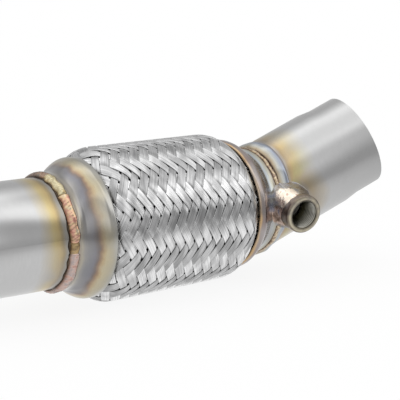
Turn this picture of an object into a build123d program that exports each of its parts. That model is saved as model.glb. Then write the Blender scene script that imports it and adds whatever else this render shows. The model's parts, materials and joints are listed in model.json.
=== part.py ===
"""Downpipe section: a bent inlet pipe, a braided flexible joint and a mitred outlet pipe with a sensor bung.

The flexible joint lies along X, from the inlet at -X to the outlet at +X, with Z up.
The origin is the centre of the inlet's cut end. The part lies on the braid and on the lip
of that end, so the inlet's bend leans down by just the angle that brings the two level.
"""

from build123d import *
import os
from math import asin, cos, degrees, radians, sin, sqrt

os.makedirs("parts", exist_ok=True)

# Pipes, in mm and degrees
pipe_od = 63.5
pipe_wall = 1.6
inlet_straight = 30.0
inlet_bend_radius = 127.0
inlet_bend_angle = 60.0
inlet_lead = 5.0
pipe_in_collar = 16.0
outlet_length = 81.5
outlet_bend_angle = 30.0
outlet_roll = 58.4
slip_reduction = 1.1
slip_length = 17.0
slip_taper_length = 9.0

# Flexible joint, over its braid from rim to rim
flex_length = 103.0
braid_swell = 4.6
braid_wall = 1.8
braid_shoulder = 13.0
braid_shoulder_angle = 52.0
braid_slot = 1.2
bellows_wall = 0.6
bellows_end = 9.5
bellows_count = 12
liner_wall = 0.8
liner_depth = 2.4
liner_turns = 17
ring_clearance = 0.25
fit_gap = 0.15
bellows_gap = 0.4

# Weave of the braid: as many bands one way as the other, each over two and under two.
# Rows and columns of crossings alternate, so every second row has its crossings on the same columns.
bands = 24
weave_rows = 30
weave_relief = 0.75
groove_depth = 1.1
groove_share = 0.05

# Collars that crimp the braid, the bellows and the liner together
collar_wall = 1.5
rim_band = 6.5
rim_taper = 0.4
cone_end = 17.5
collar_length = 23.2
shoulder_radius = 12.0
throat_radius = 7.0
tuck_length = 3.5
ring_inside = 9.0
ring_outside = 6.0

# Welds
bead_width = 5.6
bead_height = 1.5
mitre_gap = 0.6
mitre_offset = 3.3

# Sensor bung with an M18 x 1.5 thread, whose core is the bore drawn here
bung_od = 24.0
bung_bore = 16.5
bung_chamfer = 1.0
bung_countersink = 0.8
bung_face_radius = 48.2
bung_station = 10.5
bung_roll = 9.5
bung_tilt = 3.0
bung_weld_height = 5.5
bung_weld_reach = 4.5
bung_weld_drop = 6.0

# Radii that follow from the sizes above
pipe_radius = pipe_od / 2
pipe_bore = pipe_radius - pipe_wall
neck_radius = pipe_radius + fit_gap + collar_wall
ring_radius = pipe_radius + ring_clearance + collar_wall
liner_radius = ring_radius + fit_gap + liner_depth
cuff_radius = liner_radius + fit_gap + bellows_wall
braid_end_radius = cuff_radius + fit_gap + braid_wall
rim_radius = braid_end_radius + fit_gap + collar_wall + rim_taper
braid_radius = rim_radius + braid_swell
crest_radius = braid_radius - braid_wall - bellows_gap
half_flex = flex_length / 2
tuck_end = half_flex + tuck_length
bellows_pitch = (flex_length - 2 * bellows_end) / bellows_count
liner_pitch = flex_length / liner_turns

# The inlet bends back to +Y and leans down until its lip is level with the braid
sweep_angle = radians(inlet_bend_angle)
inlet_offset = inlet_bend_radius * (1 - cos(sweep_angle)) + inlet_straight * sin(sweep_angle)
lean_square = inlet_offset**2 + (pipe_radius * sin(sweep_angle)) ** 2
lean_root = (braid_radius * inlet_offset) ** 2 - lean_square * (braid_radius**2 - pipe_radius**2)
lean = asin((braid_radius * inlet_offset - sqrt(lean_root)) / lean_square)
bend_side = Vector(0, cos(lean), -sin(lean))
inlet_direction = Vector(1, 0, 0) * cos(sweep_angle) - bend_side * sin(sweep_angle)
bend_start = inlet_direction * inlet_straight
bend_end = (
    bend_start
    + Vector(1, 0, 0) * (inlet_bend_radius * sin(sweep_angle))
    - bend_side * (inlet_bend_radius * (1 - cos(sweep_angle)))
)
flex_centre = bend_end + Vector(1, 0, 0) * (inlet_lead + collar_length + half_flex)
flex_axis = Axis(flex_centre, (1, 0, 0))
flex_plane = Plane(origin=flex_centre, x_dir=(1, 0, 0), z_dir=(0, -1, 0))

# The outlet's axis crosses the flexible joint's axis just past the collar's square cut end
outlet_angle = radians(outlet_bend_angle)
outlet_direction = Vector(
    cos(outlet_angle),
    -sin(outlet_angle) * cos(radians(outlet_roll)),
    sin(outlet_angle) * sin(radians(outlet_roll)),
)
neck_end = half_flex + collar_length
outlet_origin = flex_centre + Vector(1, 0, 0) * (neck_end + mitre_offset)
outlet_axis = Axis(outlet_origin, outlet_direction)
outlet_plane = Plane(origin=outlet_origin, x_dir=outlet_direction, z_dir=outlet_direction.cross(Vector(0, 0, 1)))
mitre_plane = Plane(origin=flex_centre + Vector(1, 0, 0) * (neck_end + mitre_gap), z_dir=(1, 0, 0))

# The bung stands on the outlet's near side, its mouth leaning a little downstream
level_side = outlet_direction.cross(Vector(0, 0, 1)).normalized()
bung_side = level_side * cos(radians(bung_roll)) + outlet_direction.cross(level_side) * sin(radians(bung_roll))
bung_direction = bung_side * cos(radians(bung_tilt)) + outlet_direction * sin(radians(bung_tilt))
bung_face = outlet_origin + outlet_direction * bung_station + bung_direction * bung_face_radius
bung_plane = Plane(origin=bung_face, z_dir=bung_direction)
bung_profile_plane = Plane(
    origin=bung_face, x_dir=bung_plane.x_dir, z_dir=bung_plane.x_dir.cross(bung_direction)
)
bung_height = bung_face_radius - pipe_radius
bung_depth = bung_height + pipe_radius / 2


def collar(end):
    """A pressed collar: rim band, rounded shoulder, throat and neck. end is -1 at the inlet, 1 at the outlet."""
    outer = [
        (half_flex, rim_radius),
        (half_flex + rim_band, rim_radius - rim_taper),
        (half_flex + cone_end, neck_radius),
        (neck_end, neck_radius),
    ]
    inner = [(x, radius - collar_wall) for x, radius in outer]
    with BuildPart() as ring:
        with BuildSketch(flex_plane):
            with BuildLine():
                outside = FilletPolyline(
                    [(end * x, r) for x, r in outer], radius=[shoulder_radius, throat_radius]
                )
                inside = FilletPolyline(
                    [(end * x, r) for x, r in inner],
                    radius=[shoulder_radius - collar_wall, throat_radius + collar_wall],
                )
                Line(outside @ 0, inside @ 0)
                Line(outside @ 1, inside @ 1)
            make_face()
        revolve(axis=flex_axis)
    return ring.part


def inner_ring(end):
    """The plain ring that holds the liner's end out against the bellows, the braid and the collar."""
    with BuildPart() as ring:
        with BuildSketch(flex_plane):
            with Locations((end * (half_flex + (ring_outside - ring_inside) / 2), ring_radius - collar_wall / 2)):
                Rectangle(ring_inside + ring_outside, collar_wall)
        revolve(axis=flex_axis)
    return ring.part


# Inlet pipe: a plain cut end, a mandrel bend and a lead that slips into the collar's neck
with BuildPart() as inlet_pipe:
    with BuildLine() as inlet_path:
        Line((0, 0, 0), bend_start)
        TangentArc(bend_start, bend_end, tangent=inlet_direction)
        Line(bend_end, bend_end + Vector(inlet_lead + pipe_in_collar, 0, 0))
    with BuildSketch(Plane(origin=(0, 0, 0), z_dir=inlet_direction)):
        Circle(pipe_radius)
        Circle(pipe_bore, mode=Mode.SUBTRACT)
    sweep()
inlet_pipe.part.label = "inlet_pipe"

# Inlet weld: a lap bead in the corner between the pipe and the collar's cut end
with BuildPart() as inlet_weld:
    with BuildSketch(flex_plane):
        with BuildLine():
            ThreePointArc(
                (-neck_end - bead_width / 2, pipe_radius),
                (-neck_end, neck_radius + bead_height),
                (-neck_end + bead_width / 2, neck_radius),
            )
            Polyline(
                (-neck_end + bead_width / 2, neck_radius),
                (-neck_end, neck_radius),
                (-neck_end, pipe_radius),
                (-neck_end - bead_width / 2, pipe_radius),
            )
        make_face()
    revolve(axis=flex_axis)
inlet_weld.part.label = "inlet_weld"

# Collars and the rings inside them
inlet_collar = collar(-1)
inlet_collar.label = "inlet_collar"
outlet_collar = collar(1)
inlet_inner_ring = inner_ring(-1)
inlet_inner_ring.label = "inlet_inner_ring"
outlet_inner_ring = inner_ring(1)
outlet_inner_ring.label = "outlet_inner_ring"

# Liner: a strip-wound interlocked hose, drawn as its stepped turns
with BuildPart() as interlock_liner:
    with BuildSketch(flex_plane):
        with Locations((0, liner_radius - liner_depth / 2)):
            Rectangle(2 * tuck_end, liner_depth)
        turn_gap = liner_pitch / 2 - liner_wall
        turn_step = liner_depth - liner_wall
        with Locations((0, liner_radius - turn_step / 2)):
            with GridLocations(liner_pitch, 0, liner_turns - 1, 1):
                Rectangle(turn_gap, turn_step, mode=Mode.SUBTRACT)
        with Locations((0, liner_radius - liner_depth + turn_step / 2)):
            with GridLocations(liner_pitch, 0, liner_turns, 1):
                Rectangle(turn_gap, turn_step, mode=Mode.SUBTRACT)
    revolve(axis=flex_axis)
interlock_liner.part.label = "interlock_liner"

# Bellows: thin wall folded into round-ended convolutions between two plain cuffs
fold = bellows_pitch / 4
first_flank = -bellows_count * bellows_pitch / 2 + fold
crest_line = crest_radius - bellows_wall / 2
root_line = cuff_radius - bellows_wall / 2


def bellows_skin(side):
    """One skin of the bellows in the plane of the axis: side is half the wall, outwards or inwards."""
    root = root_line + side
    start = first_flank - side
    Line((-tuck_end, root), (first_flank - fold, root))
    ThreePointArc(
        (first_flank - fold, root),
        (first_flank - fold + (fold - side) * sin(radians(45)), root_line + fold - (fold - side) * cos(radians(45))),
        (start, root_line + fold),
    )
    for turn in range(bellows_count):
        rise = first_flank + turn * bellows_pitch
        Line((rise - side, root_line + fold), (rise - side, crest_line - fold))
        ThreePointArc(
            (rise - side, crest_line - fold),
            (rise + fold, crest_line + side),
            (rise + 2 * fold + side, crest_line - fold),
        )
        Line((rise + 2 * fold + side, crest_line - fold), (rise + 2 * fold + side, root_line + fold))
        if turn < bellows_count - 1:
            ThreePointArc(
                (rise + 2 * fold + side, root_line + fold),
                (rise + 3 * fold, root),
                (rise + 4 * fold - side, root_line + fold),
            )
    ThreePointArc(
        (-start, root_line + fold),
        (fold - first_flank - (fold - side) * sin(radians(45)), root_line + fold - (fold - side) * cos(radians(45))),
        (fold - first_flank, root),
    )
    Line((fold - first_flank, root), (tuck_end, root))


with BuildPart() as bellows:
    with BuildSketch(flex_plane):
        with BuildLine():
            bellows_skin(bellows_wall / 2)
            bellows_skin(-bellows_wall / 2)
            for end in (-tuck_end, tuck_end):
                Line((end, root_line - bellows_wall / 2), (end, root_line + bellows_wall / 2))
        make_face()
    revolve(axis=flex_axis)
bellows.part.label = "bellows"

# Braid: a barrel of woven wire whose ends are tucked under the collars' rims. Its outline is a
# straight crown, a round shoulder at each end and a straight slope down to a narrow slot at the rim.
shoulder_angle = radians(braid_shoulder_angle)
slope_drop = braid_radius - braid_end_radius - braid_shoulder * (1 - cos(shoulder_angle))
slope_length = slope_drop / sin(shoulder_angle)
tuck_start = half_flex - braid_slot
crown_end = tuck_start - braid_shoulder * sin(shoulder_angle) - slope_length * cos(shoulder_angle)
shoulder_end = crown_end + braid_shoulder * shoulder_angle
outline_end = shoulder_end + slope_length
row_step = 2 * outline_end / weave_rows
column_angle = radians(180 / bands)
last_row = weave_rows // 2 + 1


def barrel(distance, depth):
    """The braid's outline at a distance along it from the middle, moved inwards by depth: x and radius."""
    side = -1 if distance < 0 else 1
    along = abs(distance)
    if along > outline_end:
        return side * (tuck_start + along - outline_end), braid_end_radius - depth
    tilt = min(max(along - crown_end, 0) / braid_shoulder, shoulder_angle)
    slope = max(along - shoulder_end, 0)
    x = min(along, crown_end) + (braid_shoulder - depth) * sin(tilt) + slope * cos(tilt)
    radius = braid_radius - braid_shoulder + (braid_shoulder - depth) * cos(tilt) - slope * sin(tilt)
    return side * x, radius


def wrapped(row, column, depth):
    """A point on the braid, at a row along it and a column round it, below its outline by depth."""
    x, radius = barrel(row * row_step, depth)
    angle = column * column_angle
    return flex_centre + Vector(x, -radius * sin(angle), radius * cos(angle))


def woven_strip(row, column, rows_step, crossings):
    """Facets of one float: a raised strip of a band from this crossing on, low at its ends and beside it.

    A crossing is a diamond one row and one column each way from its middle. Along the strip the column
    rises by one at each crossing and the row by rows_step, 1 or -1, and across it they change the other way.
    """

    def point(along, across, depth):
        return wrapped(row + rows_step * (along - across), column + along + across, depth)

    edge = 0.5 - groove_share
    last = crossings - 1
    stations = [(-edge, weave_relief), *((i, 0.0) for i in range(crossings)), (last + edge, weave_relief)]
    facets = []
    tops, feet = [], []
    for side in (-1, 1):
        tops.append([point(along, side * edge, depth) for along, depth in stations])
        feet.append([point(i - 0.5, side * 0.5, groove_depth) for i in range(crossings + 1)])
        top, foot = tops[-1], feet[-1]
        facets += [(foot[i], top[i], top[i + 1]) for i in range(crossings + 1)]
        facets += [(foot[i], top[i + 1], foot[i + 1]) for i in range(crossings)]
    for i in range(crossings + 1):
        facets += [(tops[0][i], tops[1][i], tops[1][i + 1]), (tops[0][i], tops[1][i + 1], tops[0][i + 1])]
    for i in (0, -1):
        facets += [(feet[0][i], feet[1][i], tops[1][i]), (feet[0][i], tops[1][i], tops[0][i])]
    return facets


def weave():
    """Facets of the outside: bands that fall towards the outlet lie over those that rise, and by turns under."""
    facets = []
    for row in range(1 - last_row, last_row):
        for column in range(row % 2, 2 * bands, 2):
            falls = column % 4 < 2
            rows_step = 1 if falls else -1
            first = column % 2 == 0
            before, after = row - rows_step, row + rows_step
            if first and abs(after) < last_row:
                facets += woven_strip(row, column, rows_step, 2)
            elif first or abs(before) >= last_row:
                facets += woven_strip(row, column, rows_step, 1)
    return facets


def ring_points(row, depth):
    """The corners of a ring round the braid at a row."""
    return [wrapped(row, column, depth) for column in range(2 * bands)]


def lining_ring(row):
    """The corners of a ring round the smooth inside of the braid."""
    return ring_points(row, braid_wall)


def braid_end(end):
    """Facets from the last crossings to the tucked end, and of the end itself."""
    rim = ring_points(end * last_row, groove_depth)
    notches = ring_points(end * (last_row - 1), groove_depth)
    inside = lining_ring(end * last_row)
    facets = []
    for i in range(last_row % 2, 2 * bands, 2):
        after = (i + 1) % (2 * bands)
        facets += [(rim[i - 1], notches[i], rim[i]), (rim[i], notches[i], rim[after])]
    for i in range(2 * bands):
        facets.append((rim[i - 1], rim[i], inside[i], inside[i - 1]))
    return facets


def lining():
    """Facets of the smooth inside, in rings that follow the outline."""
    distances = [crown_end, (crown_end + shoulder_end) / 2, shoulder_end, outline_end, last_row * row_step]
    rings = [lining_ring(side * d / row_step) for side in (-1, 1) for d in distances[::side]]
    facets = []
    for near, far in zip(rings, rings[1:]):
        facets += [(near[i - 1], near[i], far[i], far[i - 1]) for i in range(2 * bands)]
    return facets


with BuildPart() as outer_braid:
    facets = weave() + braid_end(-1) + braid_end(1) + lining()
    add(Solid(Shell([Face(Wire.make_polygon(corners)) for corners in facets])))
outer_braid.part.label = "outer_braid"

# Outlet pipe: mitred against the collar's square cut end, and sized down to slip into the next pipe
slip_radius = pipe_radius - slip_reduction
slip_start = outlet_length - slip_length
taper_start = slip_start - slip_taper_length
outlet_profile = [
    (-pipe_radius, pipe_radius),
    (taper_start, pipe_radius),
    (slip_start, slip_radius),
    (outlet_length, slip_radius),
]
with BuildPart() as outlet_pipe:
    with BuildSketch(outlet_plane):
        with BuildLine():
            outside = Polyline(outlet_profile)
            inside = Polyline([(x, radius - pipe_wall) for x, radius in outlet_profile])
            Line(outside @ 0, inside @ 0)
            Line(outside @ 1, inside @ 1)
        make_face()
    revolve(axis=outlet_axis)
    split(bisect_by=mitre_plane, keep=Keep.TOP)

# The drilled hole under the bung, which runs through whatever lies there
with BuildPart() as bung_hole:
    with BuildSketch(bung_plane):
        Circle(bung_bore / 2)
    extrude(amount=-bung_depth)

# The outlet pipe's outside, to cut what is seated on it
with BuildPart() as outlet_envelope:
    with BuildSketch(Plane(origin=outlet_origin, z_dir=outlet_direction)):
        Circle(pipe_radius)
    extrude(amount=taper_start)
    extrude(to_extrude=outlet_envelope.faces().sort_by(outlet_axis)[0], amount=pipe_radius)
    split(bisect_by=mitre_plane, keep=Keep.TOP)

# The collar's neck as a solid plug, to cut what is seated on its outside
with BuildPart() as neck_envelope:
    with BuildSketch(mitre_plane):
        Circle(neck_radius)
    extrude(amount=-cone_end)

# Outlet weld: a ring bead that fills the step between the collar's neck and the mitred pipe
with BuildPart() as outlet_weld:
    with BuildSketch(flex_plane):
        with BuildLine():
            ThreePointArc(
                (neck_end - bead_width / 2, neck_radius),
                (neck_end, neck_radius + bead_height),
                (neck_end + bead_width / 2, neck_radius - collar_wall / 2),
            )
            Polyline(
                (neck_end + bead_width / 2, neck_radius - collar_wall / 2),
                (neck_end + bead_width / 2, pipe_radius - pipe_wall / 2),
                (neck_end, pipe_radius - pipe_wall / 2),
                (neck_end, neck_radius),
                (neck_end - bead_width / 2, neck_radius),
            )
        make_face()
    revolve(axis=flex_axis)
    add(outlet_envelope.part, mode=Mode.SUBTRACT)
    add(bung_hole.part, mode=Mode.SUBTRACT)

with BuildPart() as outlet_neck:
    add(outlet_collar)
    add(bung_hole.part, mode=Mode.SUBTRACT)
outlet_neck.part.label = "outlet_collar"

with BuildPart() as drilled_outlet:
    add(outlet_pipe.part)
    add(bung_hole.part, mode=Mode.SUBTRACT)
drilled_outlet.part.label = "outlet_pipe"

# Sensor bung: a turned boss, saddled onto the pipe
with BuildPart() as sensor_bung:
    with BuildSketch(bung_plane):
        Circle(bung_od / 2)
    extrude(amount=-bung_depth)
    chamfer(sensor_bung.edges().group_by(Axis(bung_face, bung_direction))[-1], bung_chamfer)
    with BuildSketch(bung_plane):
        Circle(bung_bore / 2)
    extrude(amount=-bung_depth, mode=Mode.SUBTRACT)
    mouth_edges = sensor_bung.edges().group_by(Axis(bung_face, bung_direction))[-1]
    chamfer(mouth_edges.sort_by(SortBy.RADIUS)[0], bung_countersink)
    for seat in (outlet_envelope, neck_envelope, outlet_neck, outlet_weld):
        add(seat.part, mode=Mode.SUBTRACT)

# Bung weld: the fillet round the foot of the bung, down to the pipe
weld_foot = -bung_height
weld_radius = bung_od / 2 + bung_weld_reach
with BuildPart() as sensor_bung_weld:
    with BuildSketch(bung_profile_plane):
        with BuildLine():
            ThreePointArc(
                (bung_od / 2, weld_foot + bung_weld_height),
                (bung_od / 2 + bung_weld_reach * 0.4, weld_foot + bung_weld_height * 0.4),
                (weld_radius, weld_foot),
            )
            Polyline(
                (weld_radius, weld_foot),
                (weld_radius + bung_weld_drop / 2, weld_foot - bung_weld_drop),
                (bung_od / 2, weld_foot - bung_weld_drop),
                (bung_od / 2, weld_foot + bung_weld_height),
            )
        make_face()
    revolve(axis=Axis(bung_face, bung_direction))
    for seat in (outlet_envelope, neck_envelope, outlet_neck, outlet_weld):
        add(seat.part, mode=Mode.SUBTRACT)

outlet_weld.part.label = "outlet_weld"
sensor_bung.part.label = "sensor_bung"
sensor_bung_weld.part.label = "sensor_bung_weld"

pieces = [
    inlet_pipe.part,
    inlet_weld.part,
    inlet_collar,
    inlet_inner_ring,
    interlock_liner.part,
    bellows.part,
    outer_braid.part,
    outlet_inner_ring,
    outlet_neck.part,
    outlet_weld.part,
    drilled_outlet.part,
    sensor_bung.part,
    sensor_bung_weld.part,
]
for piece in pieces:
    export_step(piece, f"parts/{piece.label}.step")
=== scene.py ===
"""A welded stainless exhaust downpipe, with a braided flexible joint and a sensor bung.

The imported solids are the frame. The pipes, bellows, liner and rings stay as they are and get their finishes
here. The collars, the braid, the weld beads and the bung are replaced by finer pieces of the same size.
"""

import json
import math

import bpy
import numpy as np
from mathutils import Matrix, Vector


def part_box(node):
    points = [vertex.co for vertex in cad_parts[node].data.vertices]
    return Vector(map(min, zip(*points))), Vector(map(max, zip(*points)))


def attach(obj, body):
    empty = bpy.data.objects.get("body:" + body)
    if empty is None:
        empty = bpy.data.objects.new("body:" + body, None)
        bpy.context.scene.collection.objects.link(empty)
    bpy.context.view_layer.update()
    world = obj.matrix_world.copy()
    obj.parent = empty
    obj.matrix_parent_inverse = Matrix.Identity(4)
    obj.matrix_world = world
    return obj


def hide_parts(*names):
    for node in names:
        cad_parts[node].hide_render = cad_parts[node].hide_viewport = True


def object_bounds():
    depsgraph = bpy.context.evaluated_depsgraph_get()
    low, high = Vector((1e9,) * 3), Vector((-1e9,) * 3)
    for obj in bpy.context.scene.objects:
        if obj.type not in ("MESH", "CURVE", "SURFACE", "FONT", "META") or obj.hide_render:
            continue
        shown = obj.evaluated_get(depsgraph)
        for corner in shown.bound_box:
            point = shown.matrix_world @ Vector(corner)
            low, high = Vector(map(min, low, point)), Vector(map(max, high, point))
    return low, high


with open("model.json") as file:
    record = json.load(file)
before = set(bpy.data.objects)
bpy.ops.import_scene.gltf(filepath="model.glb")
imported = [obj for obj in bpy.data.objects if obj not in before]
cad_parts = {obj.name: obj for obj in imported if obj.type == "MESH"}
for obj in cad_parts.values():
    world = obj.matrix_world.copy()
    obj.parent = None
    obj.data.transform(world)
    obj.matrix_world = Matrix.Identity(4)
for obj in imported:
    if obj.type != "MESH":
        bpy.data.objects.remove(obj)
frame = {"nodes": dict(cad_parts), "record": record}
cad_low, cad_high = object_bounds()

MM = 0.001
TAU = 2 * math.pi


# Places and sizes read from the frame, in metres
def mount(name):
    """The centre and outward axis of one of the record's mounts, and its sizes."""
    found = next(m for m in frame["record"]["mounts"] if m["name"] == name)
    axis = np.array(found["axis"], float)
    return np.array(found["pos_m"], float), axis / np.linalg.norm(axis), found["dims"]


def points_of(node):
    """The points of a CAD node's mesh, in the part's frame."""
    piece = frame["nodes"][node]
    flat = np.zeros(3 * len(piece.data.vertices), np.float32)
    piece.data.vertices.foreach_get("co", flat)
    place = np.array(piece.matrix_world)
    return flat.reshape(-1, 3) @ place[:3, :3].T + place[:3, 3]


COLLAR_WALL = 1.5 * MM
NECK_FIT = 0.15 * MM

inlet_end, inlet_axis, inlet_sizes = mount("inlet")
outlet_end, outlet_axis = mount("outlet")[:2]
port_middle, port_axis, port_sizes = mount("sensor_port")
pipe_radius = inlet_sizes["r_mm"] * MM
bore_radius = port_sizes["r_mm"] * MM
neck_radius = pipe_radius + NECK_FIT + COLLAR_WALL

inlet_collar_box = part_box("inlet_collar")
outlet_collar_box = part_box("outlet_collar")
braid_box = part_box("outer_braid")
flex_axis = np.array([1.0, 0.0, 0.0])
up = np.array([0.0, 0.0, 1.0])
rim_in = inlet_collar_box[1].x
rim_out = outlet_collar_box[0].x
weld_in = inlet_collar_box[0].x
weld_out = outlet_collar_box[1].x
half_flex = (rim_out - rim_in) / 2
collar_middle = (inlet_collar_box[0] + inlet_collar_box[1]) / 2
flex_centre = np.array([(rim_in + rim_out) / 2, collar_middle.y, collar_middle.z])
flex_line = np.array([0, flex_centre[1], flex_centre[2]])
braid_radius = (braid_box[1].z - braid_box[0].z) / 2

# The outlet's axis meets the flexible joint's axis where both have the joint's height and depth
outlet_reach = (outlet_end[1] - flex_centre[1]) / outlet_axis[1]
outlet_origin = outlet_end - outlet_axis * outlet_reach

# The bung's face is its farthest point along the port's axis
face_distance = np.max((points_of("sensor_bung") - port_middle) @ port_axis)
bung_face = port_middle + port_axis * face_distance
bung_side = np.cross(port_axis, up)
bung_side /= np.linalg.norm(bung_side)


# Meshes
def mesh_piece(name, points, faces, material, replaced=(), uv=None):
    """A smooth piece that rides on the one body, in place of the CAD nodes it replaces."""
    mesh = bpy.data.meshes.new(name)
    mesh.from_pydata(points.reshape(-1, 3).tolist(), [], faces)
    mesh.polygons.foreach_set("use_smooth", np.ones(len(mesh.polygons), bool))
    if uv is not None:
        layer = mesh.uv_layers.new(name="along")
        corners = np.zeros(len(mesh.loops), np.int64)
        mesh.loops.foreach_get("vertex_index", corners)
        layer.data.foreach_set("uv", uv.reshape(-1, 2)[corners].astype(np.float32).ravel())
    mesh.update()
    mesh.materials.append(material)
    piece = bpy.data.objects.new(name, mesh)
    bpy.context.scene.collection.objects.link(piece)
    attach(piece, "root")
    if replaced:
        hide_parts(*replaced)


def dress(node, material):
    """Gives a CAD node its material."""
    mesh = frame["nodes"][node].data
    mesh.materials.clear()
    mesh.materials.append(material)


def grid_faces(rows, columns, wrap_rows=False, first=0, flip=False):
    """Quads of a grid of points numbered row by row. Each row is closed, and so may be the rows together."""
    i, j = np.meshgrid(np.arange(rows if wrap_rows else rows - 1), np.arange(columns), indexing="ij")
    below, right = (i + 1) % rows, (j + 1) % columns
    corners = [i * columns + j, below * columns + j, below * columns + right, i * columns + right]
    quads = np.stack(corners, -1).reshape(-1, 4) + first
    return (quads[:, ::-1] if flip else quads).tolist()


def turned(origin, axis, side, along, radius, angle):
    """Points round an axis: along it, out from it by the radius, and round it from side."""
    across = np.cross(axis, side)
    along, radius, angle = np.broadcast_arrays(along, radius, angle)
    sideways = (radius * np.cos(angle))[..., None] * side + (radius * np.sin(angle))[..., None] * across
    return origin + along[..., None] * axis + sideways


def smooth_noise(angle, seed, waves, lowest):
    """A periodic wobble between about -1 and 1: a sum of sines of whole frequencies and seeded phases."""
    random = np.random.default_rng(seed)
    frequencies = np.arange(lowest, lowest + waves)
    phases = random.uniform(0, TAU, waves)
    weights = random.normal(0, 1, waves) / np.sqrt(waves)
    return np.sum(weights * np.sin(np.asarray(angle)[..., None] * frequencies + phases), -1)


# Materials
def linear(code):
    """The linear colour of an sRGB hex code."""
    values = [int(code[i : i + 2], 16) / 255 for i in (1, 3, 5)]
    return [v / 12.92 if v <= 0.04045 else ((v + 0.055) / 1.055) ** 2.4 for v in values] + [1.0]


def add_node(tree, kind, inputs=None, output=0, stops=(), **settings):
    """Adds a shader node with its settings and links, and returns one of its outputs.

    Each input, under its socket's name or number, is a number, a hex colour, a vector or the output that
    feeds it. A Mix node's colours are sockets 6 and 7 and come out at 2, and its vectors are 4 and 5 and come
    out at 1. Stops are a ramp's places, each with a hex colour or a grey level, which may pass 1. A noise's
    Scale is 1 over the size of its features in metres.
    """
    made = tree.nodes.new("ShaderNode" + kind)
    for name, value in settings.items():
        setattr(made, name, value)
    for socket, value in (inputs or {}).items():
        if isinstance(value, bpy.types.NodeSocket):
            tree.links.new(value, made.inputs[socket])
        elif isinstance(value, str):
            made.inputs[socket].default_value = linear(value)
        else:
            made.inputs[socket].default_value = value.tolist() if isinstance(value, np.ndarray) else value
    if stops:
        elements = made.color_ramp.elements
        while len(elements) < len(stops):
            elements.new(0.5)
        for element, (place, colour) in zip(elements, stops):
            element.position = place
            element.color = linear(colour) if isinstance(colour, str) else (colour, colour, colour, 1.0)
    return made.outputs[output] if len(made.outputs) else None


def new_material(name):
    """An empty material: itself, its tree, and its Object coordinates, metres in the part's frame."""
    material = bpy.data.materials.new(name)
    material.use_nodes = True
    tree = material.node_tree
    tree.nodes.clear()
    return material, tree, add_node(tree, "TexCoord", output="Object")


def distance_from_plane(tree, place, point, normal):
    """Millimetres from a plane: the dot product of the way from its point and its normal."""
    moved = add_node(tree, "VectorMath", {0: place, 1: point}, operation="SUBTRACT")
    along = add_node(tree, "VectorMath", {0: moved, 1: normal}, "Value", operation="DOT_PRODUCT")
    return add_node(tree, "Math", {0: along, 1: 1 / MM}, operation="MULTIPLY")


def distance_from_line(tree, place, point, direction):
    """Millimetres from a line: the length of the way from its point crossed with its unit direction."""
    moved = add_node(tree, "VectorMath", {0: place, 1: point}, operation="SUBTRACT")
    across = add_node(tree, "VectorMath", {0: moved, 1: direction}, operation="CROSS_PRODUCT")
    length = add_node(tree, "VectorMath", {0: across}, "Value", operation="LENGTH")
    return add_node(tree, "Math", {0: length, 1: 1 / MM}, operation="MULTIPLY")


def facing_out(tree, place, point, axis):
    """The unit vector straight out from an axis, the surface's own normal, and their dot product."""
    moved = add_node(tree, "VectorMath", {0: place, 1: point}, operation="SUBTRACT")
    along = add_node(tree, "VectorMath", {0: moved, 1: axis}, operation="PROJECT")
    across = add_node(tree, "VectorMath", {0: moved, 1: along}, operation="SUBTRACT")
    out = add_node(tree, "VectorMath", {0: across}, operation="NORMALIZE")
    own = add_node(tree, "NewGeometry", output="Normal")
    return out, own, add_node(tree, "VectorMath", {0: out, 1: own}, "Value", operation="DOT_PRODUCT")


def round_normal(tree, place, point, axis):
    """The normal of a drawn tube, free of its mesh's facets: straight out from its axis, or straight in on
    its bore. The tube's end faces, whose normals run along the axis, keep their own."""
    out, own, facing = facing_out(tree, place, point, axis)
    sign = add_node(tree, "Math", {0: facing}, operation="SIGN")
    smooth = add_node(tree, "VectorMath", {0: out, "Scale": sign}, operation="SCALE")
    size = add_node(tree, "Math", {0: facing}, operation="ABSOLUTE")
    wall = add_node(tree, "Math", {0: size, 1: 0.8}, operation="GREATER_THAN")
    return add_node(tree, "Mix", {0: wall, 4: own, 5: smooth}, 1, data_type="VECTOR")


def bore_share(tree, place, mouth, outward):
    """1 on a tube's bore near its mouth and 0 on its outside: the bore's normal points in at the mouth's
    axis. It fades from 48 to 68 mm deep, where a bent tube has left that axis."""
    out, own, facing = facing_out(tree, place, mouth, outward)
    depth = distance_from_plane(tree, place, mouth, -outward)
    near = add_node(tree, "Math", {0: depth, 1: -0.05, 2: 3.4}, operation="MULTIPLY_ADD", use_clamp=True)
    inward = add_node(tree, "Math", {0: facing, 1: -0.2}, operation="LESS_THAN")
    return add_node(tree, "Math", {0: inward, 1: near}, operation="MULTIPLY")


# Heat tints on the tubes and collars. Each runs over so many millimetres from its weld
SATIN = "#C0C0C0"
MILL_GREY = "#8F8D88"
THIN_OXIDE = [(0.0, "#8D8782"), (0.3, "#A19D98"), (1.0, SATIN)]
INLET_TINT_WIDTH = 17
INLET_TINT = [
    (0.0, "#9A948D"),
    (0.12, "#98958F"),
    (0.24, "#9E8F72"),
    (0.36, "#BBA77A"),
    (0.50, "#C2B286"),
    (0.68, "#BFB6A2"),
    (1.0, SATIN),
]
OUTLET_TINT_WIDTH = 24
OUTLET_TINT = [
    (0.0, "#A6A5A4"),
    (0.26, "#A59F9A"),
    (0.33, "#AC9772"),
    (0.42, "#C3AB7C"),
    (0.55, "#C4B38A"),
    (0.70, "#C3BBA6"),
    (0.85, "#C1BEB6"),
    (1.0, SATIN),
]
BUNG_TINT_WIDTH = 16
BUNG_TINT = [(0.0, "#A19B95"), (0.25, "#B3A48A"), (0.55, "#BBB3A4"), (1.0, SATIN)]
COLLAR_LENGTH = 23.2
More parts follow.
